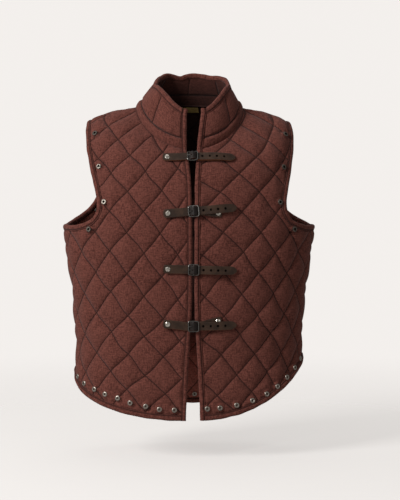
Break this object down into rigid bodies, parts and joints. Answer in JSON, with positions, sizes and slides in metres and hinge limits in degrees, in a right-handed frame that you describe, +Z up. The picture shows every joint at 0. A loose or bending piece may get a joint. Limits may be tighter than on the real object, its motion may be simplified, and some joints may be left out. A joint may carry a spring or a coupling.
{
  "type": "gambeson",
  "caption": "Sleeveless quilted gambeson with a padded stand collar, buckled straps down the open front, and laced eyelets at the armholes.",
  "frame": {"origin": "on the centre line of the body, at the height of the shoulder neck points, where the wearer's shoulders carry the gambeson", "axes": "+Z up along the body, the front faces -Y, and +X points to the wearer's left"},
  "size_m": [0.525, 0.2761, 0.7133],
  "materials": {
    "cloth": "soft reddish-brown woven cloth, quilted in diamonds over padding, with a slight nap",
    "cloth_binding": "strips of the same reddish-brown cloth, folded over the edges and stitched down",
    "leather": "dark brown strap leather with a slight shine",
    "gunmetal": "dark plated steel, smooth",
    "nickel": "dull nickel plating",
    "tape": "plain woven olive-yellow tape, unprinted"
  },
  "bodies": {
    "root": {"front_left": "cloth", "front_right": "cloth", "back": "cloth", "collar_left": "cloth", "collar_right": "cloth", "front_binding_left": "cloth_binding", "front_binding_right": "cloth_binding", "armhole_binding_left": "cloth_binding", "armhole_binding_right": "cloth_binding", "hem_binding_left": "cloth_binding", "hem_binding_right": "cloth_binding", "hem_binding_back": "cloth_binding", "collar_binding": "cloth_binding", "neck_label": "tape", "billet_1": "leather", "chape_1": "leather", "buckle_1": "gunmetal", "prong_1": "gunmetal", "billet_rivet_1": "nickel", "chape_rivet_1": "nickel", "billet_2": "leather", "chape_2": "leather", "buckle_2": "gunmetal", "prong_2": "gunmetal", "billet_rivet_2": "nickel", "chape_rivet_2": "nickel", "billet_3": "leather", "chape_3": "leather", "buckle_3": "gunmetal", "prong_3": "gunmetal", "billet_rivet_3": "nickel", "chape_rivet_3": "nickel", "billet_4": "leather", "chape_4": "leather", "buckle_4": "gunmetal", "prong_4": "gunmetal", "billet_rivet_4": "nickel", "chape_rivet_4": "nickel", "eyelet_front_left_1": "nickel", "eyelet_front_left_2": "nickel", "eyelet_front_left_3": "nickel", "eyelet_front_left_4": "nickel", "eyelet_front_right_1": "nickel", "eyelet_front_right_2": "nickel", "eyelet_front_right_3": "nickel", "eyelet_front_right_4": "nickel", "eyelet_back_left_1": "nickel", "eyelet_back_left_2": "nickel", "eyelet_back_left_3": "nickel", "eyelet_back_left_4": "nickel", "eyelet_back_right_1": "nickel", "eyelet_back_right_2": "nickel", "eyelet_back_right_3": "nickel", "eyelet_back_right_4": "nickel"}
  },
  "joints": []
}
